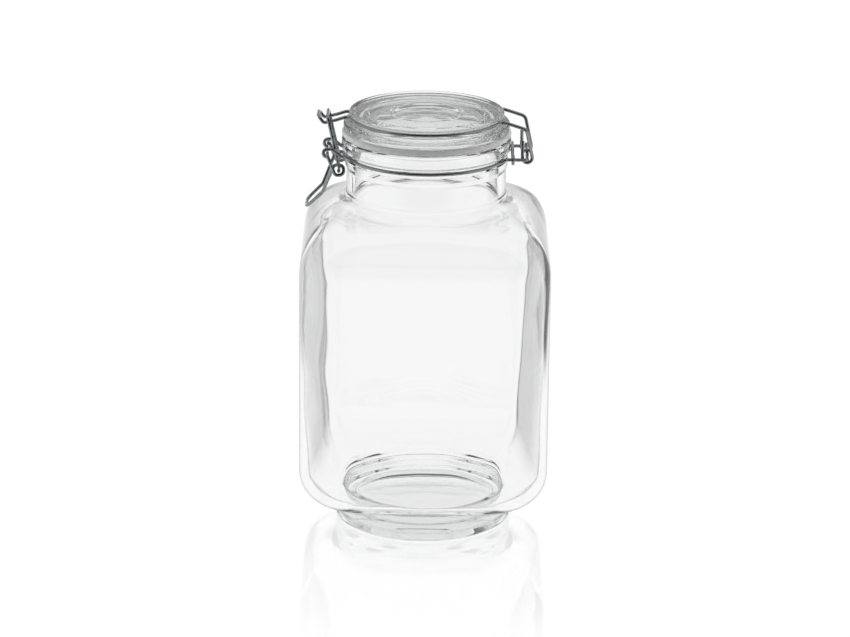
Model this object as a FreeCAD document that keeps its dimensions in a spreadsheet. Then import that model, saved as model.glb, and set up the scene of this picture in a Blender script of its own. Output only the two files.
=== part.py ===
import FreeCAD, Part
import math
import os
import Sketcher
from FreeCAD import Vector

# Square-bodied glass storage jar of about three litres, closed by a wire clamp.
# Frame: +Z up, origin at the centre of the foot's resting plane. The clamp lies
# towards -X and the hinge towards +X; the near half of each wire is at -Y.
# Lengths are millimetres.

doc = FreeCAD.newDocument("bail_clamp_jar")
sheet = doc.addObject("Spreadsheet::Sheet", "sizes")

SIZES = {
    # square body
    "body_half": 72.5, "corner_round": 26.0, "wall_thick": 4.2,
    "shoulder_start": 162.0, "shoulder_round": 38.0,
    "heel_start": 44.0, "heel_round": 29.0, "arc_sweep_deg": 75.0,
    # foot
    "foot_radius": 52.0, "foot_edge": 1.6, "foot_bearing": 45.5, "foot_join": 22.0,
    "punt_radius": 42.0, "punt_depth": 3.2, "well_radius": 46.0, "well_floor": 9.0,
    "well_edge": 5.0, "well_top": 26.0,
    # neck and mouth
    "neck_radius": 46.5, "bore_radius": 41.5, "neck_base": 188.0,
    "ledge_radius": 47.4, "ledge_low": 216.8, "ledge_high": 221.2,
    "bead_radius": 49.2, "bead_low": 225.6, "bead_edge": 1.2, "mouth_top": 233.3,
    # seal and lid
    "seal_gap": 0.3, "seal_thick": 3.8, "seal_inner": 40.6, "seal_outer": 49.3,
    "flange_radius": 48.3, "flange_thick": 4.2, "waist_radius": 42.9,
    "rim_radius": 45.0, "rim_inner": 41.4, "rim_thick": 1.7, "lid_top": 248.0,
    "boss_radius": 40.2, "boss_low": 232.2, "boss_inner": 36.0, "dome_low": 239.6,
    "plate_drop": 1.2, "outer_ring": 34.6, "inner_ring": 20.4, "ring_width": 1.5,
    "ring_height": 0.7, "dish_drop": 2.2,
    # wires
    "wire_radius": 1.0,
    "neck_wire_radius": 47.6, "neck_wire_level": 223.0,
    "lid_wire_radius": 44.0, "lid_wire_level": 245.2,
    "eye_centre_x": -57.2, "eye_centre_z": 224.8, "eye_radius": 2.4, "eye_plane": 10.9,
    "coil_centre_x": -50.5, "coil_centre_z": 215.9,
    "coil_half": 2.8, "strut_plane": 15.5, "handle_plane": 13.3, "grip_plane": 8.0,
    "grip_reach": 18.9, "grip_drop": 24.3,
    "link_plane": 8.5, "hook_x": -57.2, "hook_z": 246.0,
    "nose_plane": 6.2, "nose_reach": 5.4, "nose_below": 3.9,
    "hinge_x": 58.3, "arm_plane": 14.8, "hairpin_plane": 12.2, "hairpin_half": 2.8,
    "hairpin_drop": 2.3, "tie_x": 50.0,
    "hoop_bend": 3.0, "pin_bend": 1.5, "wire_clear": 0.1,
}
for row, (alias, value) in enumerate(SIZES.items(), start=1):
    sheet.set(f"A{row}", alias)
    sheet.set(f"B{row}", str(value))
    sheet.setAlias(f"B{row}", alias)
doc.recompute()


def size(alias):
    return float(sheet.get(alias))


# ---------------------------------------------------------------- turned pieces

def turned(name, outline):
    """A body turned about Z from a sketched outline, whose points are (radius, height) expressions."""
    body = doc.addObject("PartDesign::Body", name)
    planes = {feature.Role: feature for feature in body.Origin.OriginFeatures}
    sketch = body.newObject("Sketcher::SketchObject", name + "_outline")
    sketch.AttachmentSupport = (planes["XZ_Plane"], [""])
    sketch.MapMode = "FlatFace"
    places = [(measured(radius), measured(height)) for radius, height in outline]
    count = len(places)
    for index in range(count):
        start, end = places[index], places[(index + 1) % count]
        sketch.addGeometry(Part.LineSegment(Vector(*start, 0), Vector(*end, 0)), False)
    for index in range(count):
        following = (index + 1) % count
        sketch.addConstraint(Sketcher.Constraint("Coincident", index, 2, following, 1))
    for index, (radius, height) in enumerate(outline):
        if places[index][0] == 0:
            sketch.addConstraint(Sketcher.Constraint("PointOnObject", index, 1, -2))
        else:
            bind(sketch, "DistanceX", index, places[index][0], radius)
        bind(sketch, "DistanceY", index, places[index][1], height)
    turning = body.newObject("PartDesign::Revolution", name + "_turning")
    turning.Profile = sketch
    turning.ReferenceAxis = (sketch, ["V_Axis"])
    turning.Angle = 360.0
    return body


def bind(sketch, kind, index, value, expression):
    number = sketch.addConstraint(Sketcher.Constraint(kind, index, 1, value))
    sketch.setExpression(f"Constraints[{number}]", in_sheet(expression))


def in_sheet(expression):
    """Prefix every alias in an expression with the sheet's name."""
    words = expression.split()
    return " ".join(f"sizes.{word}" if word in SIZES else word for word in words)


def measured(expression):
    """The expression's value now, from the same cells."""
    total, sign = 0.0, 1.0
    for word in expression.split():
        if word in "+-":
            sign = 1.0 if word == "+" else -1.0
        else:
            total += sign * (size(word) if word in SIZES else float(word))
    return total


# ---------------------------------------------------------------- the square body


def side_outline(half, shoulder, heel):
    """Closed outline of the body seen from one side: heel arcs, straight walls, shoulder arcs."""
    sweep = math.radians(size("arc_sweep_deg"))
    top, low = size("shoulder_start"), size("heel_start")

    def on_arc(radius, level, angle):
        return Vector(half - radius + radius * math.cos(angle), 0, level + radius * math.sin(angle))

    shoulder_arc = [on_arc(shoulder, top, angle) for angle in (0, sweep / 2, sweep)]
    heel_arc = [on_arc(heel, low, -angle) for angle in (sweep, sweep / 2, 0)]
    right = [Part.Arc(*heel_arc).toShape(), Part.makeLine(heel_arc[2], shoulder_arc[0]),
             Part.Arc(*shoulder_arc).toShape()]
    left = [edge.mirror(Vector(), Vector(1, 0, 0)) for edge in right]
    across = [Part.makeLine(mirrored(shoulder_arc[2]), shoulder_arc[2]),
              Part.makeLine(mirrored(heel_arc[0]), heel_arc[0])]
    return Part.Face(Part.Wire(Part.__sortEdges__(right + left + across)))


def mirrored(point):
    return Vector(-point.x, point.y, point.z)


def squared(name, inset):
    """A square body: two crossed extrusions of one side outline, with the corners rounded."""
    half = size("body_half") - inset
    outline = doc.addObject("Part::Feature", name + "_side")
    outline.Shape = side_outline(half, size("shoulder_round") - inset, size("heel_round") - inset)
    slabs = []
    for direction, turn in (("front", 0), ("side", 90)):
        slab = doc.addObject("Part::Extrusion", f"{name}_{direction}_slab")
        slab.Base = outline
        slab.DirMode = "Custom"
        slab.Dir = Vector(0, 1, 0)
        slab.setExpression("LengthFwd", "sizes.body_half * 1.2")
        slab.setExpression("LengthRev", "sizes.body_half * 1.2")
        slab.Solid = True
        slab.Placement = FreeCAD.Placement(Vector(), FreeCAD.Rotation(Vector(0, 0, 1), turn))
        slabs.append(slab)
    crossed = doc.addObject("Part::MultiCommon", name + "_crossed")
    crossed.Shapes = slabs
    doc.recompute()
    corners = []
    for number, edge in enumerate(crossed.Shape.Edges, start=1):
        middle = edge.valueAt((edge.FirstParameter + edge.LastParameter) / 2)
        on_diagonal = abs(abs(middle.x) - abs(middle.y)) < 0.01
        if on_diagonal:
            corners.append(number)
    rounded = doc.addObject("Part::Fillet", name)
    rounded.Base = crossed
    radius = size("corner_round") - inset
    rounded.Edges = [(number, radius, radius) for number in corners]
    doc.recompute()
    return rounded


def glass_jar():
    """The jar's glass: square body, round foot and neck, less its hollow, bore, well and punt."""
    outer = squared("jar_body", 0.0)
    hollow = squared("jar_hollow", size("wall_thick"))
    foot = turned("jar_foot", [
        ("0", "0"), ("foot_radius - foot_edge", "0"), ("foot_radius", "foot_edge"),
        ("foot_radius", "foot_join"), ("0", "foot_join")])
    neck = turned("jar_neck", [
        ("0", "neck_base"), ("neck_radius", "neck_base"), ("neck_radius", "ledge_low"),
        ("ledge_radius", "ledge_low + 0.9"), ("ledge_radius", "ledge_high - 0.9"),
        ("neck_radius", "ledge_high"), ("neck_radius", "bead_low"),
        ("bead_radius - bead_edge", "bead_low"), ("bead_radius", "bead_low + bead_edge"),
        ("bead_radius", "mouth_top - bead_edge"), ("bead_radius - bead_edge", "mouth_top"),
        ("0", "mouth_top")])
    bore = turned("jar_bore", [
        ("0", "neck_base"), ("bore_radius", "neck_base"), ("bore_radius", "mouth_top + 5"),
        ("0", "mouth_top + 5")])
    well = turned("jar_well", [
        ("0", "well_floor"), ("well_radius - well_edge", "well_floor"),
        ("well_radius", "well_floor + well_edge"), ("well_radius", "well_top"), ("0", "well_top")])
    punt = turned("jar_punt", [
        ("0", "0 - 5"), ("foot_bearing", "0 - 5"), ("foot_bearing", "0"),
        ("punt_radius", "punt_depth"), ("0", "punt_depth + 0.8")])
    glass = doc.addObject("Part::MultiFuse", "jar_glass")
    glass.Shapes = [outer, foot, neck]
    space = doc.addObject("Part::MultiFuse", "jar_space")
    space.Shapes = [hollow, bore, well, punt]
    jar = doc.addObject("Part::Cut", "glass_jar")
    jar.Base = glass
    jar.Tool = space
    return jar


def glass_lid():
    """The lid: rimmed top plate with two raised rings, waist, flange, and a boss inside the mouth."""
    plate = "lid_top - plate_drop"
    dish = "lid_top - dish_drop"
    seat = "mouth_top + seal_gap + seal_thick"
    return turned("glass_lid", [
        ("0", dish), ("inner_ring - ring_width - 2", dish),
        ("inner_ring - ring_width", plate + " + ring_height"),
        ("inner_ring", plate + " + ring_height"), ("inner_ring + ring_width", plate),
        ("outer_ring - ring_width", plate), ("outer_ring - 0.5", plate + " + ring_height"),
        ("outer_ring + 0.5", plate + " + ring_height"), ("outer_ring + ring_width", plate),
        ("rim_inner - 1.2", plate), ("rim_inner", "lid_top"), ("rim_radius - 0.6", "lid_top"),
        ("rim_radius", "lid_top - 0.6"), ("rim_radius", "lid_top - rim_thick + 0.3"),
        ("rim_radius - 0.6", "lid_top - rim_thick"), ("waist_radius", "lid_top - rim_thick"),
        ("waist_radius", seat + " + flange_thick + 0.4"),
        ("flange_radius - 0.8", seat + " + flange_thick"),
        ("flange_radius", seat + " + flange_thick - 0.8"),
        ("flange_radius", seat + " + 0.6"), ("flange_radius - 0.6", seat),
        ("boss_radius", seat), ("boss_radius", "boss_low + 0.8"),
        ("boss_radius - 0.8", "boss_low"), ("boss_inner", "boss_low"),
        ("boss_inner - 3", "dome_low - 1.5"), ("0", "dome_low")])


def seal_ring():
    """The flat ring seal between the mouth and the lid's flange."""
    low = "mouth_top + seal_gap"
    high = "mouth_top + seal_gap + seal_thick"
    return turned("seal_ring", [
        ("seal_inner", low), ("seal_outer - 0.7", low), ("seal_outer", low + " + 0.7"),
        ("seal_outer", high + " - 0.75"), ("seal_outer - 0.7", high + " - 0.05"),
        ("seal_inner", high + " - 0.05")])


# ---------------------------------------------------------------- wire pieces

def bent(points, bends):
    """Edges of a wire through the points, each inner corner bent to the given radius."""
    edges = []
    start = points[0]
    for corner, following, before, radius in zip(points[1:-1], points[2:], points[:-2], bends):
        inward = (before - corner).normalize()
        outward = (following - corner).normalize()
        half_angle = inward.getAngle(outward) / 2
        reach = radius / math.tan(half_angle)
        bisector = (inward + outward).normalize()
        centre = corner + bisector * (radius / math.sin(half_angle))
        enter, leave = corner + inward * reach, corner + outward * reach
        if (enter - start).Length > 1e-4:
            edges.append(Part.makeLine(start, enter))
        edges.append(Part.Arc(enter, centre - bisector * radius, leave).toShape())
        start = leave
    edges.append(Part.makeLine(start, points[-1]))
    return edges


def hoop(radius, level, front_plane, rear_plane, bend):
    """Half a hoop at -Y round the axis, and the points where its front and rear runs along X begin."""
    def bend_centre(plane, side):
        return Vector(side * math.sqrt((radius + bend) ** 2 - (plane + bend) ** 2), -plane - bend, level)

    axis = Vector(0, 0, level)
    front, rear = bend_centre(front_plane, -1), bend_centre(rear_plane, 1)
    front_run = Vector(front.x, -front_plane, level)
    rear_run = Vector(rear.x, -rear_plane, level)
    front_meet = axis + (front - axis).normalize() * radius
    rear_meet = axis + (rear - axis).normalize() * radius

    def round_bend(centre, meet, run):
        towards = ((meet - centre) + (run - centre)).normalize()
        return Part.Arc(run, centre + towards * bend, meet).toShape()

    edges = [round_bend(front, front_meet, front_run),
             Part.Arc(front_meet, Vector(0, -radius, level), rear_meet).toShape(),
             round_bend(rear, rear_meet, rear_run)]
    return edges, front_run, rear_run


def swept(name, edges):
    """A round wire of the sheet's radius along the edges."""
    path = doc.addObject("Part::Feature", name + "_path")
    path.Shape = Part.Wire(Part.__sortEdges__(edges))
    section = doc.addObject("Part::Circle", name + "_section")
    section.setExpression("Radius", "sizes.wire_radius")
    first = path.Shape.OrderedEdges[0]
    begin = path.Shape.OrderedVertexes[0].Point
    at_start = (first.valueAt(first.FirstParameter) - begin).Length < 1e-5
    parameter = first.FirstParameter if at_start else first.LastParameter
    heading = first.tangentAt(parameter) * (1 if at_start else -1)
    section.Placement = FreeCAD.Placement(begin, FreeCAD.Rotation(Vector(0, 0, 1), heading))
    sweep = doc.addObject("Part::Sweep", name)
    sweep.Sections = [section]
    sweep.Spine = (path, [f"Edge{number + 1}" for number in range(len(path.Shape.Edges))])
    sweep.Solid = True
    sweep.Frenet = False
    return sweep


def with_mirror(name, half):
    """The half wire at -Y and its mirror image at +Y, joined at the middle."""
    other = doc.addObject("Part::Mirroring", name + "_far_half")
    other.Source = half
    other.Normal = Vector(0, 1, 0)
    whole = doc.addObject("Part::Fuse", name)
    whole.Base = half
    whole.Tool = other
    return whole


def near_neck_wire():
    """Half of the wire round the neck, from its clamp eye to its hinge pin, which turns up at its end."""
    level, bend, pin_bend = size("neck_wire_level"), size("hoop_bend"), size("pin_bend")
    front_plane, rear_plane = size("eye_plane"), size("arm_plane")
    edges, front_run, rear_run = hoop(size("neck_wire_radius"), level, front_plane, rear_plane, bend)
    eye, centre_x, centre_z = size("eye_radius"), size("eye_centre_x"), size("eye_centre_z")
    outer, high, low = centre_x - eye, centre_z + eye, centre_z - eye
    front = [
        Vector(centre_x, -front_plane, low),
        Vector(outer, -front_plane, low),
        Vector(outer, -front_plane, high),
        Vector(centre_x + eye, -front_plane, high),
        Vector(front_run.x - 0.6, -front_plane, level),
        front_run,
    ]
    hinge_x, pin_end = size("hinge_x"), size("hairpin_plane") - 3.2
    rear = [
        rear_run,
        Vector(hinge_x, -rear_plane, level),
        Vector(hinge_x, -pin_end, level),
        Vector(hinge_x, -pin_end, level + 3.6),
    ]
    front_bends = [eye - 0.01, eye - 0.01, pin_bend, pin_bend]
    return swept("neck_wire_near", bent(front, front_bends) + edges + bent(rear, [pin_bend, pin_bend]))


def far_neck_wire(near):
    """The other half of the wire round the neck."""
    far = doc.addObject("Part::Mirroring", "neck_wire_far")
    far.Source = near
    far.Normal = Vector(0, 1, 0)
    return far


def rear_tie():
    """A short wire hooked round both rear arms, over the far one and under the near one."""
    x, level, arm = size("tie_x"), size("neck_wire_level"), size("arm_plane")
    reach = 2 * size("wire_radius") + size("wire_clear")
    high, low = level + reach, level - reach
    route = [
        (arm - reach, low), (arm + reach, low), (arm + reach, high), (arm - reach, high),
        (-arm + reach, low), (-arm - reach, low), (-arm - reach, high), (-arm + reach, high),
    ]
    hook, crossing = reach - 0.02, size("pin_bend")
    bends = [hook, hook, crossing, crossing, hook, hook]
    return swept("rear_tie", bent([Vector(x, y, z) for y, z in route], bends))


def lid_wire():
    """The wire round the lid: a nose under the link's bar in front, two hinge hairpins at the rear."""
    level, plane, arm = size("lid_wire_level"), size("nose_plane"), size("arm_plane")
    edges, front_run, rear_run = hoop(size("lid_wire_radius"), level, plane, arm, size("hoop_bend"))
    hook_x, hook_z, tip = size("hook_x"), size("hook_z"), size("hook_x") - size("nose_reach")
    rest = hook_z - size("nose_below")
    nose = [
        Vector(tip, 0, hook_z - 0.2),
        Vector(tip, -plane, hook_z - 0.2),
        Vector(hook_x - 2.4, -plane, rest - 0.5),
        Vector(hook_x + 5.2, -plane, rest + 1.4),
        Vector(front_run.x - 0.8, -plane, level),
        front_run,
    ]
    hinge_x, hinge_z, hairpin = size("hinge_x"), size("neck_wire_level"), size("hairpin_plane")
    width, low = size("hairpin_half"), hinge_z - size("hairpin_drop")
    rear = [
        rear_run,
        Vector(rear_run.x + 1.5, -arm, level),
        Vector(hinge_x - 0.9, -arm, level - 4.0),
        Vector(hinge_x + width, -hairpin, hinge_z + 1.5),
        Vector(hinge_x + width, -hairpin, low),
        Vector(hinge_x - width, -hairpin, low),
        Vector(hinge_x - width, -hairpin, hinge_z + 10.5),
    ]
    nose_bends = [2.6, 1.8, 4.0, 4.0]
    rear_bends = [5.0, 4.0, 6.0, width - 0.1, width - 0.1]
    half = swept("lid_wire_near_half", bent(nose, nose_bends) + edges + bent(rear, rear_bends))
    return with_mirror("lid_wire", half)


def clamp_link():
    """The clamp's link: a bar over the nose, two legs, and feet that turn in the lever's coils."""
    plane, hook_x, hook_z = size("link_plane"), size("hook_x"), size("hook_z")
    coil_x, coil_z = size("coil_centre_x"), size("coil_centre_z")
    route = [
        Vector(hook_x, 0, hook_z),
        Vector(hook_x, -plane, hook_z),
        Vector(coil_x, -plane, coil_z),
        Vector(coil_x, -size("strut_plane") - 1.8, coil_z),
    ]
    return with_mirror("clamp_link", swept("clamp_link_near_half", bent(route, [2.4, size("pin_bend")])))


def clamp_lever():
    """The clamp's lever: pins in the neck wire's eyes, struts, coils round the link's feet, a grip."""
    strut, handle, grip = size("strut_plane"), size("handle_plane"), size("grip_plane")
    pin_x, pin_z, pin_end = size("eye_centre_x"), size("eye_centre_z"), size("eye_plane") - 1.1
    coil_x, coil_z, side = size("coil_centre_x"), size("coil_centre_z"), size("coil_half")
    grip_x, grip_z = coil_x - size("grip_reach"), coil_z - size("grip_drop")
    shift = (strut - handle) / 4
    route = [
        Vector(pin_x, -pin_end, pin_z),
        Vector(pin_x, -strut, pin_z),
        Vector(coil_x - 2.1, -strut, coil_z - 3.1),
        Vector(coil_x + side, -strut + shift, coil_z - side - 0.2),
        Vector(coil_x + side, -strut + 2 * shift, coil_z + side),
        Vector(coil_x - 2.5, -strut + 3 * shift, coil_z + side),
        Vector(coil_x - 9.8, -9.6, coil_z - 15.3),
        Vector(grip_x, -grip, grip_z),
        Vector(grip_x, 0, grip_z),
    ]
    bends = [size("pin_bend"), 2.2, 2.6, 2.6, 2.3, 2.5, 4.0]
    return with_mirror("clamp_lever", swept("clamp_lever_near_half", bent(route, bends)))


near = near_neck_wire()
pieces = [
    glass_jar(), glass_lid(), seal_ring(), lid_wire(), near, far_neck_wire(near), rear_tie(),
    clamp_link(), clamp_lever(),
]
doc.recompute()

for item in doc.Objects:
    if {"Invalid", "Error"} & set(item.State):
        raise RuntimeError(f"{item.Name}: {item.State}")

os.makedirs("parts", exist_ok=True)
for piece in pieces:
    shape = piece.Shape
    if shape.isNull() or not shape.isValid() or shape.Volume <= 0:
        raise RuntimeError(f"{piece.Name}: bad shape")
    piece.Label = piece.Name
    shape.exportStep(f"parts/{piece.Label}.step")
    box = shape.BoundBox
    print(f"{piece.Label}: {len(shape.Solids)} solid, {shape.Volume / 1000:.2f} cm3,"
          f" x {box.XMin:.1f} to {box.XMax:.1f}, y {box.YMin:.1f} to {box.YMax:.1f},"
          f" z {box.ZMin:.1f} to {box.ZMax:.1f}")
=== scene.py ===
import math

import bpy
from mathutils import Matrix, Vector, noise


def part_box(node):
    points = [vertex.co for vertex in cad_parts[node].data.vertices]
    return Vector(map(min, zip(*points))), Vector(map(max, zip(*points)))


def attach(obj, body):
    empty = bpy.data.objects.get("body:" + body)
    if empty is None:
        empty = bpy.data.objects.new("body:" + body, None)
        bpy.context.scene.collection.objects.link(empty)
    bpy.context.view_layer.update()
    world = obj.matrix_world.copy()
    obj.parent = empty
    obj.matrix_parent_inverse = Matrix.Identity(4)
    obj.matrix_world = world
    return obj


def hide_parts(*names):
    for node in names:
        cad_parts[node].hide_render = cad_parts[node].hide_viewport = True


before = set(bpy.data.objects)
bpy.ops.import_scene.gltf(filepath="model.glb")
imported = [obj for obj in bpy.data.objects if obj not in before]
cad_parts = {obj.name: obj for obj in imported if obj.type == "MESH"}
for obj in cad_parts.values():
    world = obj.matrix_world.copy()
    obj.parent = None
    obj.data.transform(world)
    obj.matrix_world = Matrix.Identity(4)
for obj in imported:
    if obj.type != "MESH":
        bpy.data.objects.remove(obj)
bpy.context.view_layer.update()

# %% [markdown]
# # A clamp-top jar, built around its working model
#
# The loaded frame already holds the jar's pieces at their real size, in metres: the
# glass, the lid, its seal and the bent wires, grouped in the bodies that move. We keep
# that frame as it is and dress it. The glass, the lid and the seal get finer meshes of
# our own, and the wires keep the shapes they came with and get a steel finish.
#

MM = 0.001


def in_mm(vector):
    """A place or a size in millimetres, to a tenth, for printing."""
    return tuple(round(value / MM, 1) for value in vector)


print("nodes:", ", ".join(sorted(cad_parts)))

# %% [markdown]
# ## Sizes that everything else follows
#
# A maker measures the glass where other pieces meet it: the width of the square body,
# the mouth, the lid. We read those from the frame's boxes, so our meshes land where
# the frame's pieces are, and only name the small sizes that a box can't tell us. Such
# a size is the wall, which is about 4 mm in a glass jar as large as this one.

# %% Read the driving sizes from the frame, in millimetres
jar_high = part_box("glass_jar")[1] / MM
lid_low, lid_high = (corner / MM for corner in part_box("glass_lid"))
seal_low, seal_high = (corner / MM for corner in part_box("seal_ring"))

HALF = jar_high.x
MOUTH = jar_high.z
LID_TOP = lid_high.z
FLANGE = lid_high.x
WALL = 4.2
print("body half", HALF, "mouth", round(MOUTH, 1), "lid top", round(LID_TOP, 1))

# %% [markdown]
# ## The camera
#
# The jar is seen from the front and a little above with a long lens, which keeps its
# sides nearly parallel. A camera is placed by three directions: right, up and back.
# We work these out from the angle, then turn it a hair about its own axis.

# %% Place the camera
ELEVATION = math.radians(18.43)
ROLL = math.radians(0.61)
# The lens and its film are in millimetres, the places in metres.
LENS = 161.8
FILM_WIDTH = 36.0
DISTANCE = 2.25
FURTHEST_SEEN = 50.0
TARGET = Vector((0.0002, 0.0, 0.1211))

forward = Vector((0.0, math.cos(ELEVATION), -math.sin(ELEVATION)))
level_right = Vector((1.0, 0.0, 0.0))
level_up = level_right.cross(forward)
right = level_right * math.cos(ROLL) + level_up * math.sin(ROLL)
up = level_up * math.cos(ROLL) - level_right * math.sin(ROLL)
turn = Matrix((right, up, -forward)).transposed().to_4x4()

camera_data = bpy.data.cameras.new("camera")
camera_data.lens = LENS
camera_data.sensor_width = FILM_WIDTH
camera_data.clip_end = FURTHEST_SEEN
camera = bpy.data.objects.new("camera", camera_data)
camera.matrix_world = Matrix.Translation(TARGET - forward * DISTANCE) @ turn
scene = bpy.context.scene
scene.collection.objects.link(camera)
scene.camera = camera
print("camera at, mm:", in_mm(camera.location))

# %% [markdown]
# ## Small helpers for materials
#
# Colours are picked as they look on a screen, so one function turns such a hex value
# into the linear light that the renderer adds up. The second adds a node with its
# settings, its fixed values and its links, and every material is built from it. The
# third starts a material with nothing in it but its output.

# %% Colour and node helpers
def linear(hex_colour):
    """An sRGB hex value as linear red, green, blue and full alpha."""
    channels = [int(hex_colour[i:i + 2], 16) / 255 for i in (1, 3, 5)]
    light = [c / 12.92 if c <= 0.04045 else ((c + 0.055) / 1.055) ** 2.4 for c in channels]
    return (*light, 1.0)


def add_node(tree, kind, values=None, links=None, **settings):
    """Add a node; values are fixed inputs, links are inputs fed by other nodes' sockets."""
    node = tree.nodes.new(kind)
    for name, setting in settings.items():
        setattr(node, name, setting)
    for socket, value in (values or {}).items():
        node.inputs[socket].default_value = value
    for socket, source in (links or {}).items():
        tree.links.new(source, node.inputs[socket])
    return node


def blank_material(name):
    """A new material, its node tree and its output node."""
    material = bpy.data.materials.new(name)
    material.use_nodes = True
    material.node_tree.nodes.clear()
    output = add_node(material.node_tree, "ShaderNodeOutputMaterial")
    return material, material.node_tree, output


WHITE = linear("#ffffff")
print("white is", [round(c, 2) for c in WHITE])

# %% [markdown]
# ## The table
#
# Clear glass has no colour of its own: it shows what stands round it. So the jar
# stands on a table that is as bright as paper. A lamp would leave uneven patches, so
# the table shines by itself. Near the jar it is polished, which gives a soft
# reflection that dies away, and it is a little darker right under the foot, where a
# real table gets less light.

# %% Build the polished white table
# In metres: wide enough that its rim is never seen, and a hair below the glass.
TABLE_RADIUS = 12.0
TABLE_GAP = 0.2 * MM
ROUND_STEPS = 96


def polished_table():
    """White lacquer: as bright as paper, with a blurred reflection close to the jar."""
    material, tree, output = blank_material("white_polished_table")
    place = add_node(tree, "ShaderNodeTexCoord")
    spread = add_node(tree, "ShaderNodeVectorMath", links={0: place.outputs["Object"]},
                      operation="LENGTH")
    # The polish starts to fade below the body's corners and is gone 250 mm out.
    polish = add_node(tree, "ShaderNodeMapRange",
                      {"From Min": 90 * MM, "From Max": 250 * MM, "To Min": 2.0, "To Max": 0.0},
                      {"Value": spread.outputs["Value"]}, interpolation_type="SMOOTHSTEP")
    glance = add_node(tree, "ShaderNodeFresnel", {"IOR": 1.45})
    shine = add_node(tree, "ShaderNodeMath", links={0: polish.outputs[0], 1: glance.outputs[0]},
                     operation="MULTIPLY")
    # The foot stands within the darker spot, which ends just outside its edge.
    shade = add_node(tree, "ShaderNodeMapRange",
                     {"From Min": 30 * MM, "From Max": 54 * MM, "To Min": 0.86, "To Max": 1.02},
                     {"Value": spread.outputs["Value"]}, interpolation_type="SMOOTHSTEP")
    paper = add_node(tree, "ShaderNodeEmission", {"Color": WHITE}, {"Strength": shade.outputs[0]})
    mirror = add_node(tree, "ShaderNodeBsdfGlossy", {"Color": WHITE, "Roughness": 0.06})
    blend = add_node(tree, "ShaderNodeMixShader",
                     links={0: shine.outputs[0], 1: paper.outputs[0], 2: mirror.outputs[0]})
    tree.links.new(blend.outputs[0], output.inputs["Surface"])
    return material


bpy.ops.mesh.primitive_circle_add(vertices=ROUND_STEPS, radius=TABLE_RADIUS, fill_type="NGON")
table = bpy.context.object
table.name = "table"
table.location.z = -TABLE_GAP
table.data.materials.append(polished_table())
print("table radius", TABLE_RADIUS, "m")

# %% [markdown]
# ## The room's light
#
# A real room is dim at the level of the eye and bright near its ceiling. The glass
# and the wires reflect both, and that contrast makes them look like glass and metal.
# So the world is a dim grey that turns bright above, with no lamps. Clear glass also
# needs many light bounces, because a ray meets two faces in each wall that it crosses
# and can go back and forth between them.

# %% Build the room's light
LIGHT_BOUNCES = 24
GLOSS_BOUNCES = 12

world = bpy.data.worlds.new("studio")
scene.world = world
world.use_nodes = True
tree = world.node_tree
tree.nodes.clear()
look = add_node(tree, "ShaderNodeTexCoord")
axes = add_node(tree, "ShaderNodeSeparateXYZ", links={0: look.outputs["Generated"]})
behind = add_node(tree, "ShaderNodeMapRange",
                  {"From Min": 0.0, "From Max": 0.9, "To Min": 0.42, "To Max": 0.38},
                  {"Value": axes.outputs["Y"]}, interpolation_type="SMOOTHSTEP")
above = add_node(tree, "ShaderNodeMapRange",
                 {"From Min": 0.36, "From Max": 0.52, "To Min": 0.0, "To Max": 0.85},
                 {"Value": axes.outputs["Z"]}, interpolation_type="SMOOTHSTEP")
total = add_node(tree, "ShaderNodeMath", links={0: behind.outputs[0], 1: above.outputs[0]},
                 operation="MAXIMUM")
sky = add_node(tree, "ShaderNodeBackground", {"Color": WHITE}, {"Strength": total.outputs[0]})
add_node(tree, "ShaderNodeOutputWorld", links={"Surface": sky.outputs[0]})

scene.view_settings.view_transform = "Standard"
scene.cycles.max_bounces = LIGHT_BOUNCES
scene.cycles.transmission_bounces = LIGHT_BOUNCES
scene.cycles.glossy_bounces = GLOSS_BOUNCES
scene.cycles.use_denoising = True
print("light bounces", scene.cycles.max_bounces)

# %% [markdown]
# ## Cards round the jar
#
# Clear glass on a white table has no edge until something darker shows in it, so a
# studio stands cards round it. The two at the sides darken the sides of the glass,
# and the one before the jar gives each wire its dark core. Each card fades to white
# towards its rim, because a hard rim would show through the jar as a shape. The
# camera looks past them all. The side cards only act through the glass, and the
# front card only by reflection, so that none of them spoils another one's work.

# %% Stand the cards
SIDE_DEPTH, SIDE_LEVEL, SIDE_HEIGHT = 85, 180, 360
# Each side card has a name, a middle left or right of the jar, a width and a brightness.
SIDES = (("left_card", -290, 280, 0.60), ("right_card", 280, 290, 0.0))


def card(name, middle_mm, width_mm, height_mm, brightness):
    """An upright card, square to the jar's front, of one brightness with a soft white rim."""
    bpy.ops.mesh.primitive_plane_add(size=1.0)
    board = bpy.context.object
    board.name = name
    board.scale = (width_mm * MM, height_mm * MM, 1.0)
    board.rotation_euler.x = math.pi / 2
    board.location = Vector(middle_mm) * MM
    board.visible_camera = False
    material, tree, output = blank_material(name + "_paint")
    place = add_node(tree, "ShaderNodeTexCoord")
    # The plane is 1 wide before it is scaled, so each side is 0.5 from its middle.
    spread = add_node(tree, "ShaderNodeVectorMath", links={0: place.outputs["Object"]},
                      operation="LENGTH")
    fade = add_node(tree, "ShaderNodeMapRange",
                    {"From Min": 0.38, "From Max": 0.50, "To Min": brightness, "To Max": 1.0},
                    {"Value": spread.outputs["Value"]}, interpolation_type="SMOOTHSTEP")
    paint = add_node(tree, "ShaderNodeEmission", {"Color": WHITE}, {"Strength": fade.outputs[0]})
    tree.links.new(paint.outputs[0], output.inputs["Surface"])
    board.data.materials.append(material)
    return board


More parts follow.
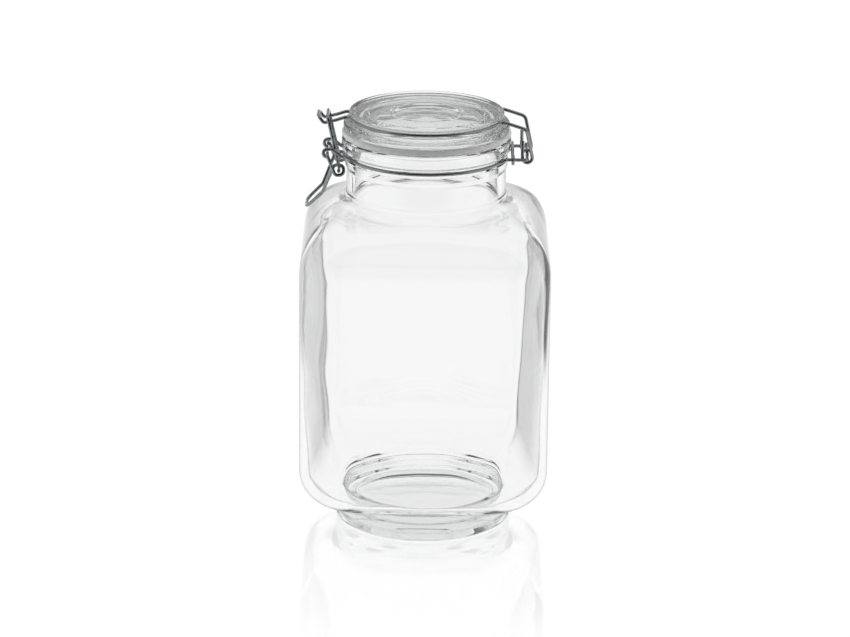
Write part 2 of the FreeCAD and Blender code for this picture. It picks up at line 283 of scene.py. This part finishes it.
for name, x_mm, width_mm, brightness in SIDES:
    side = card(name, (x_mm, SIDE_DEPTH, SIDE_LEVEL), width_mm, SIDE_HEIGHT, brightness)
    side.visible_glossy = False
front = card("front_card", (0, -150, 285), 520, 270, 0.02)
front.visible_transmission = False
print("cards:", len(SIDES) + 1)

# %% [markdown]
# ## A white screen round the table
#
# At a low angle the polished table reflects what stands behind the jar. The dim room
# would turn it grey there, so a low ring of white cloth stands all the way round.

# %% Stand the screen
SCREEN_RADIUS, SCREEN_HEIGHT = 550 * MM, 350 * MM

bpy.ops.mesh.primitive_cylinder_add(
    vertices=ROUND_STEPS, radius=SCREEN_RADIUS, depth=SCREEN_HEIGHT, end_fill_type="NOTHING",
    location=(0, 0, SCREEN_HEIGHT / 2))
screen = bpy.context.object
screen.name = "white_screen"
screen.visible_camera = False
cloth, tree, output = blank_material("white_screen_cloth")
glow = add_node(tree, "ShaderNodeEmission", {"Color": WHITE, "Strength": 1.0})
tree.links.new(glow.outputs[0], output.inputs["Surface"])
screen.data.materials.append(cloth)
print("screen height, mm:", round(SCREEN_HEIGHT / MM))

# %% [markdown]
# ## A mesh by rings
#
# Jar, lid and seal are all made the same way: a profile is swept round the axis. The
# lid and the seal stay round. The jar goes from a round foot to a square body and back
# to a round neck, so each ring of its mesh says how square it is. A ring's points
# keep their column from bottom to top, which gives clean four-sided faces. A spin of
# the profile couldn't turn square, and a boolean of a box and a cylinder would leave
# a hard line at the shoulder.

# %% Rings between a rounded square and a circle
FLAT_STEPS = 8
ARC_STEPS = 12
CORNER = 26.0
GUIDE_HALF = 52.0
QUARTER_TURNS = ((1, 0), (0, 1), (-1, 0), (0, -1))


def quarter(half, corner):
    """Points along a quarter of a rounded square, from the middle of one side to the next."""
    flat = half - corner
    points = [(half, flat * step / FLAT_STEPS) for step in range(FLAT_STEPS)]
    for step in range(ARC_STEPS + 1):
        angle = math.pi / 2 * step / ARC_STEPS
        points.append((flat + corner * math.cos(angle), flat + corner * math.sin(angle)))
    points += [(flat * (1 - step / FLAT_STEPS), half) for step in range(1, FLAT_STEPS)]
    return points


def ring(half, height, squareness):
    """One ring: a rounded square, a circle of the same half-width, or a mix of both."""
    square = quarter(half, min(CORNER, half))
    # On the circle, each point lies at the angle that it has on a body of middling width.
    angles = [math.atan2(y, x) for x, y in quarter(GUIDE_HALF, CORNER)]
    points = []
    for cos, sin in QUARTER_TURNS:
        for (x, y), angle in zip(square, angles):
            px = squareness * x + (1 - squareness) * half * math.cos(angle)
            py = squareness * y + (1 - squareness) * half * math.sin(angle)
            points.append(Vector((px * cos - py * sin, px * sin + py * cos, height)))
    return points


POINTS_IN_RING = len(ring(HALF, 0, 0))
print("points in a ring:", POINTS_IN_RING)

# %% [markdown]
# ## Rounded profiles
#
# A profile is a short list of corner points, each with the radius it is rounded to.
# Real glass has no sharp edge anywhere, because it flows before it sets. Each corner
# is replaced by an arc that touches both of its runs, as a fillet does, and an arc
# that is too large for a short run gets smaller until it fits.

# %% Round the corners of a profile
ARC_RINGS = 5
MOST_OF_RUN = 0.48
NEARLY_STRAIGHT = math.radians(88)


def rounded(corners):
    """Replace each corner (half-width, height, radius, squareness) with an arc of rings."""
    rings = [(corners[0][0], corners[0][1], corners[0][3])]
    for before, corner, after in zip(corners, corners[1:], corners[2:]):
        here, radius, squareness = Vector(corner[:2]), corner[2], corner[3]
        back, ahead = Vector(before[:2]) - here, Vector(after[:2]) - here
        half_angle = back.angle(ahead) / 2
        if radius <= 0 or half_angle > NEARLY_STRAIGHT:
            rings.append((here.x, here.y, squareness))
            continue
        longest = MOST_OF_RUN * min(back.length, ahead.length)
        reach = min(radius / math.tan(half_angle), longest)
        radius = reach * math.tan(half_angle)
        inward = (back.normalized() + ahead.normalized()).normalized()
        centre = here + inward * (radius / math.sin(half_angle))
        start = here + back.normalized() * reach - centre
        swing = start.angle_signed(here + ahead.normalized() * reach - centre)
        for step in range(ARC_RINGS + 1):
            spoke = start.copy()
            spoke.rotate(Matrix.Rotation(-swing * step / ARC_RINGS, 2))
            rings.append((centre.x + spoke.x, centre.y + spoke.y, squareness))
    rings.append((corners[-1][0], corners[-1][1], corners[-1][3]))
    return rings


print("a rounded corner has", len(rounded([(0, 0, 0, 0), (9, 0, 2, 0), (9, 9, 0, 0)])) - 2, "rings")

# %% [markdown]
# ## From rings to a mesh
#
# Neighbouring rings are joined by four-sided faces. The seal's profile is closed, so
# its last ring joins its first. The profiles of jar and lid start and end near the
# axis, and a fan of triangles closes the small hole at each end. Subdivision then
# turns the coarse faces into smooth glass, which matters more than on other materials,
# because glass bends light by its slope and shows every facet.

# %% Join the rings
def ring_mesh(name, rings, closed):
    """A mesh of the rings; an open profile is closed at both ends by a fan."""
    loops = [ring(half, height, squareness) for half, height, squareness in rings]
    count = len(loops[0])
    verts = [point * MM for loop in loops for point in loop]
    faces = []
    spans = len(loops) if closed else len(loops) - 1
    for row in range(spans):
        above_row = (row + 1) % len(loops)
        for column in range(count):
            across = (column + 1) % count
            faces.append((row * count + column, row * count + across,
                          above_row * count + across, above_row * count + column))
    if not closed:
        for row, flip in ((0, True), (len(loops) - 1, False)):
            centre = len(verts)
            verts.append(Vector((0, 0, loops[row][0].z)) * MM)
            for column in range(count):
                pair = (row * count + column, row * count + (column + 1) % count)
                faces.append((centre, *(reversed(pair) if flip else pair)))
    mesh = bpy.data.meshes.new(name)
    mesh.from_pydata(verts, [], faces)
    mesh.validate()
    mesh.shade_smooth()
    piece = bpy.data.objects.new(name, mesh)
    scene.collection.objects.link(piece)
    return piece


def subdivide(piece, levels):
    """Smooth a piece by subdivision, as much in the view as in the render."""
    modifier = piece.modifiers.new("smooth", "SUBSURF")
    modifier.levels = levels
    modifier.render_levels = levels


print("faces between two rings:", POINTS_IN_RING)

# %% [markdown]
# ## The outline of the jar's outside
#
# It runs from under the foot, over the heel and up the wall, over the shoulder to the
# neck, the ledge below the neck wire, and the lip. The foot has two rolls with
# grooves between them, from the mould. Heel and shoulder are large arcs, and along
# them the jar turns from round to square: the further out a ring lies, the squarer.

# %% Arcs that turn from round to square
SHOULDER, SHOULDER_START = 38.0, 162.0
HEEL, HEEL_START = 29.0, 44.0
WALL_STEPS = 14


def ramp(low, high):
    """Squareness by half-width: a smooth rise from 0 at low to 1 at high."""
    def rise(half):
        share = min(max((half - low) / (high - low), 0.0), 1.0)
        return share * share * (3 - 2 * share)
    return rise


def arc_rings(radius, level, start_deg, end_deg, steps, squareness_at, shell=0.0):
    """Rings along an arc that meets the wall at this level; shell sets it in by a wall."""
    rings = []
    for step in range(steps + 1):
        angle = math.radians(start_deg + (end_deg - start_deg) * step / steps)
        half = HALF - radius + (radius - shell) * math.cos(angle)
        height = level + (radius - shell) * math.sin(angle)
        rings.append((half, height, squareness_at(half)))
    return rings


wall_rise = SHOULDER_START - HEEL_START
wall_levels = [HEEL_START + wall_rise * step / WALL_STEPS for step in range(1, WALL_STEPS)]
print("wall rings:", len(wall_levels))

# %% [markdown]
# The radii below are the ones that a calliper finds on the glass: the foot, the neck,
# the ledge, the lip and the bore of the mouth. Each bracket is a corner: its
# half-width, its height, the radius it is rounded to, and how square it is. Foot and
# neck are round, so that is 0 here.

# %% Draw the outside
FOOT, NECK, LEDGE, LIP, BORE = 52.0, 46.5, 47.4, 49.2, 41.5

outside = rounded([
    # the hollow under the foot, and the edge that the jar stands on
    (0.6, 4.0, 0, 0), (41.0, 3.4, 3.0, 0), (45.5, 0.0, 1.2, 0), (FOOT - 0.2, 0.0, 2.2, 0),
    # the two rolls of the foot, with a groove after each
    (FOOT, 5.6, 1.0, 0), (FOOT - 0.8, 6.3, 0.5, 0), (FOOT - 0.1, 7.1, 0.6, 0),
    (FOOT - 0.1, 11.0, 0.8, 0), (FOOT - 0.9, 11.8, 0.5, 0), (FOOT - 0.3, 12.6, 0.6, 0),
    # the small ridge where the foot meets the heel
    (FOOT - 0.2, 15.8, 0.5, 0), (52.7, 16.4, 0.4, 0), (53.6, 15.7, 0.7, 0), (54.9, 17.0, 0.5, 0)])
outside += arc_rings(HEEL, HEEL_START, -65, 0, 10, ramp(52, 62))
outside += [(HALF, level, 1.0) for level in wall_levels]
outside += arc_rings(SHOULDER, SHOULDER_START, 0, 64, 14, ramp(47, 66))
outside += rounded([
    # the neck, out of the shoulder
    (50.2, 197.2, 0, 0), (46.7, 200.2, 3.5, 0), (NECK, 210.0, 1.5, 0), (NECK, 214.5, 2.0, 0),
    # the ledge, and the groove above it that holds the neck wire
    (LEDGE, 217.2, 1.6, 0), (LEDGE, 220.6, 0.8, 0), (NECK, 221.8, 0.5, 0), (NECK, 224.8, 0.8, 0),
    # the lip, and over it into the mouth
    (LIP, 226.0, 1.4, 0), (LIP, 232.6, 1.3, 0), (47.6, MOUTH, 0.8, 0), (42.4, MOUTH, 1.4, 0),
    (BORE, 230.8, 1.0, 0)])
print("outside rings:", len(outside))

# %% [markdown]
# ## The outline of the jar's inside
#
# Only the mould's side of blown glass has crisp shapes. The inside follows the
# outside a wall's thickness in, softly, and ends in a round bowl in the foot, where
# the glass is thickest.

# %% Draw the inside
inside = [(BORE, 222.0, 0.0), (BORE, 212.0, 0.0)]
inside += rounded([
    # out of the bore and over to the shoulder
    (BORE, 206.0, 0, 0), (42.2, 197.0, 5.0, 0), (49.0, 192.5, 2.0, 0.02), (50.5, 191.6, 0, 0.05)])
inside += arc_rings(SHOULDER, SHOULDER_START, 58, 0, 12, ramp(46, 62), WALL)
inside += [(HALF - WALL, level, 1.0) for level in reversed(wall_levels)]
inside += arc_rings(HEEL, HEEL_START, 0, -62, 10, ramp(52, 62), WALL)
inside += rounded([
    # the bowl of the foot
    (54.6, 21.7, 0, 0.1), (52.4, 20.2, 1.4, 0), (50.4, 17.4, 1.6, 0), (40.0, 13.0, 8.0, 0),
    (24.0, 11.2, 8.0, 0), (0.6, 11.0, 0, 0)])
print("inside rings:", len(inside))

# %% [markdown]
# ## The jar's glass
#
# Blown glass is never quite even. The outside takes the mould's shape, and the inside
# is free, so it keeps slow waves a few centimetres long, drawn out along the height
# and deeper in the corners, where the glass stretched most. They bend the light in
# soft smudges along the sides. We move the points of the inside by a smooth noise,
# which is the same on every run.

# %% Make the jar, with waves on its inside
WAVES = ((34.0, 0.55), (12.0, 0.2))
WAVES_LOW, WAVES_HIGH, WAVES_FADE = 24, 196, 12
DRAWN_OUT = 0.4
LEAST_DEPTH = 0.5
CORNER_DEPTH = 1.6

jar = ring_mesh("jar_glass_blown", outside + inside, closed=False)
outside_count = len(outside) * POINTS_IN_RING
for vertex in jar.data.vertices:
    level = vertex.co.z / MM
    if vertex.index < outside_count or not WAVES_LOW < level < WAVES_HIGH:
        continue
    fade = min(1.0, (level - WAVES_LOW) / WAVES_FADE, (WAVES_HIGH - level) / WAVES_FADE)
    outward = Vector((vertex.co.x, vertex.co.y, 0)).normalized()
    cornerness = abs(vertex.co.x * vertex.co.y) / (HALF * HALF * MM * MM)
    depth_share = LEAST_DEPTH + min(1.0, cornerness * CORNER_DEPTH)
    for long_mm, deep_mm in WAVES:
        spot = Vector((vertex.co.x, vertex.co.y, vertex.co.z * DRAWN_OUT)) / (long_mm * MM)
        vertex.co += outward * noise.noise(spot) * deep_mm * MM * fade * depth_share
subdivide(jar, 2)
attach(jar, "jar")
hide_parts("glass_jar")
print("jar mesh faces:", len(jar.data.polygons))

# %% [markdown]
# ## The lid
#
# The lid is pressed in a mould: a rimmed plate with two raised rings and a dish in
# its middle, a waist where the lid wire runs, a flange that sits on the seal, and a
# boss that drops in the mouth. Its outline starts in the middle of the dish, goes
# over the rim and down the side, and ends in the middle of the boss. Pressed glass
# is even on both sides, so the lid gets no waves.

# %% Make the lid
PLATE = LID_TOP - 1.2
DISH = LID_TOP - 2.6
SEAT = seal_high.z + 0.05
RIM, WAIST, BOSS = 45.0, 42.9, 40.3

lid_rings = rounded([
    # the dish, with a small button in its middle
    (0.6, LID_TOP - 2.2, 0, 0), (6.6, LID_TOP - 2.2, 0.8, 0), (7.4, DISH, 0.8, 0),
    (17.6, DISH, 1.2, 0),
    # the inner ring
    (18.9, PLATE + 0.5, 0.6, 0), (20.4, PLATE + 0.5, 0.6, 0), (21.9, PLATE, 0.8, 0),
    # the outer ring
    (33.2, PLATE, 0.8, 0), (34.2, PLATE + 0.45, 0.5, 0), (35.2, PLATE + 0.45, 0.5, 0),
    (36.2, PLATE, 0.8, 0),
    # the rim
    (41.6, PLATE, 0.8, 0), (42.6, LID_TOP, 0.6, 0), (RIM, LID_TOP, 0.9, 0),
    (RIM, LID_TOP - 1.8, 0.8, 0),
    # the waist and the flange
    (WAIST, LID_TOP - 2.0, 0.7, 0), (WAIST, SEAT + 4.6, 0.8, 0), (FLANGE, SEAT + 4.2, 1.0, 0),
    (FLANGE, SEAT, 0.8, 0),
    # the boss, hollow underneath
    (BOSS, SEAT, 0.5, 0), (BOSS - 0.1, lid_low.z, 1.4, 0), (37.0, lid_low.z, 1.6, 0),
    (30.0, 237.0, 9.0, 0), (0.6, 239.6, 0, 0)])
lid = ring_mesh("lid_glass_pressed", list(reversed(lid_rings)), closed=False)
subdivide(lid, 2)
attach(lid, "lid")
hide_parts("glass_lid")
print("lid mesh faces:", len(lid.data.polygons))

# %% [markdown]
# ## The seal
#
# The seal is a flat ring of clear silicone, pressed between the lid and the lip. Soft
# rubber under pressure bulges at its free edge, so the outer side of the profile is
# a low crown and not a straight line. Its profile is closed on itself.

# %% Make the seal
SEAL_IN, SEAL_OUT, SEAL_CROWN = 40.7, 48.9, 49.25

seal_rings = rounded([
    # the inner edge
    (42.0, seal_low.z, 0, 0), (SEAL_IN, seal_low.z + 0.1, 0.6, 0),
    (SEAL_IN, seal_high.z - 0.1, 0.6, 0), (42.0, seal_high.z, 0, 0),
    # the crowned outer edge
    (48.0, seal_high.z, 0.8, 0), (SEAL_OUT, seal_high.z - 0.6, 0.6, 0),
    (SEAL_CROWN, (seal_low.z + seal_high.z) / 2, 1.0, 0),
    (SEAL_OUT, seal_low.z + 0.6, 0.6, 0), (48.0, seal_low.z, 0.8, 0), (45.0, seal_low.z, 0, 0)])
seal = ring_mesh("seal_silicone_ring", list(reversed(seal_rings)), closed=True)
subdivide(seal, 1)
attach(seal, "lid")
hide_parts("seal_ring")
print("seal mesh faces:", len(seal.data.polygons))

# %% [markdown]
# ## Glass
#
# Container glass is soda-lime glass, with an IOR of 1.52. It is clear, with a breath
# of green-grey that only shows where a ray stays in it for long. That belongs in the
# volume, so thick places get it by themselves. Where the surface is seen nearly edge
# on, its colour is darkened: this is painted shade, a dark outline that tells the eye
# where the glass is, added to what refraction shows.
# The mould leaves a faint ripple, a couple of centimetres long on blown glass and
# shorter on pressed glass, which makes highlights waver.

# %% Clear soda-lime glass
GLASS_TINT = "#e6e9e8"
GLASS_DENSITY = 13.0
BLOWN_RIPPLE_MM, PRESSED_RIPPLE_MM = 22.0, 14.0


def soda_lime_glass(name, ripple_mm):
    """Clear container glass with a painted dark outline where it is seen edge on, and highlights
    that waver.
    """
    material, tree, output = blank_material(name)
    place = add_node(tree, "ShaderNodeTexCoord")
    ripple = add_node(tree, "ShaderNodeTexNoise", {"Scale": 1 / (ripple_mm * MM), "Detail": 2.0},
                      {"Vector": place.outputs["Object"]})
    bump = add_node(tree, "ShaderNodeBump", {"Strength": 0.04, "Distance": 0.4 * MM},
                    {"Height": ripple.outputs["Fac"]})
    # Painted shade: the base colour darkens where the surface is seen edge on, which draws a dark
    # outline.
    side_on = add_node(tree, "ShaderNodeLayerWeight", {"Blend": 0.5})
    painted_edge_shade = add_node(tree, "ShaderNodeMapRange",
                    {"From Min": 0.66, "From Max": 0.90, "To Min": 0.965, "To Max": 0.10},
                    {"Value": side_on.outputs["Facing"]}, interpolation_type="SMOOTHSTEP")
    shader = add_node(tree, "ShaderNodeBsdfPrincipled",
                      {"Roughness": 0.0, "IOR": 1.52, "Transmission Weight": 1.0},
                      {"Normal": bump.outputs["Normal"], "Base Color": painted_edge_shade.outputs[0]})
    depth = add_node(tree, "ShaderNodeVolumeAbsorption",
                     {"Color": linear(GLASS_TINT), "Density": GLASS_DENSITY})
    tree.links.new(shader.outputs[0], output.inputs["Surface"])
    tree.links.new(depth.outputs[0], output.inputs["Volume"])
    return material


jar.data.materials.append(soda_lime_glass("soda_lime_glass_blown", BLOWN_RIPPLE_MM))
lid.data.materials.append(soda_lime_glass("soda_lime_glass_pressed", PRESSED_RIPPLE_MM))
print("glass on", jar.name, "and", lid.name)

# %% [markdown]
# ## Silicone
#
# Clear silicone rubber passes light but scatters it on the way, several millimetres
# deep, so the ring looks milky beside the glass. Subsurface scattering does this with
# less noise than a real volume would. The rubber is moulded in a matt tool, which
# gives it a broad, weak highlight. The tool's grain is far too fine to see, so it is
# drawn 2 mm coarse, just enough to break up the highlight.

# %% Milky silicone
SILICONE_GRAIN_MM = 2.0
SILICONE_DEPTH = 8 * MM


def moulded_silicone():
    """Silicone rubber: a milky white ring with a dull highlight."""
    material, tree, output = blank_material("moulded_silicone")
    place = add_node(tree, "ShaderNodeTexCoord")
    grain = add_node(tree, "ShaderNodeTexNoise",
                     {"Scale": 1 / (SILICONE_GRAIN_MM * MM), "Detail": 3.0},
                     {"Vector": place.outputs["Object"]})
    bump = add_node(tree, "ShaderNodeBump", {"Strength": 0.1, "Distance": 0.1 * MM},
                    {"Height": grain.outputs["Fac"]})
    shader = add_node(tree, "ShaderNodeBsdfPrincipled",
                      {"Base Color": linear("#fafbfa"), "Roughness": 0.4, "IOR": 1.41,
                       "Subsurface Weight": 1.0, "Subsurface Radius": (SILICONE_DEPTH,) * 3,
                       "Subsurface Scale": 1.0},
                      {"Normal": bump.outputs["Normal"]})
    tree.links.new(shader.outputs[0], output.inputs["Surface"])
    return material


seal.data.materials.append(moulded_silicone())
print("silicone on", seal.name)

# %% [markdown]
# ## Steel wire
#
# The clamp, the hinge and both wire rings are spring wire of stainless steel, drawn
# through a die. The die polishes the wire and leaves fine marks on it, so it is
# bright but not a mirror. On wire only 2 mm thick, this gives the eye a dark core
# with thin bright edges. The marks are far finer than the render can show, so they
# are drawn 0.8 mm coarse, as a change of polish and a very low bump. The wires keep
# the meshes that came with the frame, because bent wire has no other detail.

# %% Drawn stainless wire
DIE_MARK_MM = 0.8
WIRES = ("lid_wire", "neck_wire_near", "neck_wire_far", "rear_tie", "clamp_link", "clamp_lever")


def drawn_stainless():
    """Bright spring wire: a polished metal whose polish changes a little along it."""
    material, tree, output = blank_material("drawn_stainless_steel")
    place = add_node(tree, "ShaderNodeTexCoord")
    marks = add_node(tree, "ShaderNodeTexNoise", {"Scale": 1 / (DIE_MARK_MM * MM), "Detail": 4.0},
                     {"Vector": place.outputs["Object"]})
    finish = add_node(tree, "ShaderNodeMapRange", {"To Min": 0.04, "To Max": 0.12},
                      {"Value": marks.outputs["Fac"]})
    bump = add_node(tree, "ShaderNodeBump", {"Strength": 0.15, "Distance": 0.03 * MM},
                    {"Height": marks.outputs["Fac"]})
    shader = add_node(tree, "ShaderNodeBsdfPrincipled",
                      {"Base Color": linear("#8a8c8e"), "Metallic": 1.0},
                      {"Roughness": finish.outputs[0], "Normal": bump.outputs["Normal"]})
    tree.links.new(shader.outputs[0], output.inputs["Surface"])
    return material


steel = drawn_stainless()
for wire in WIRES:
    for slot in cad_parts[wire].material_slots:
        slot.material = steel
print("wires in", steel.name)
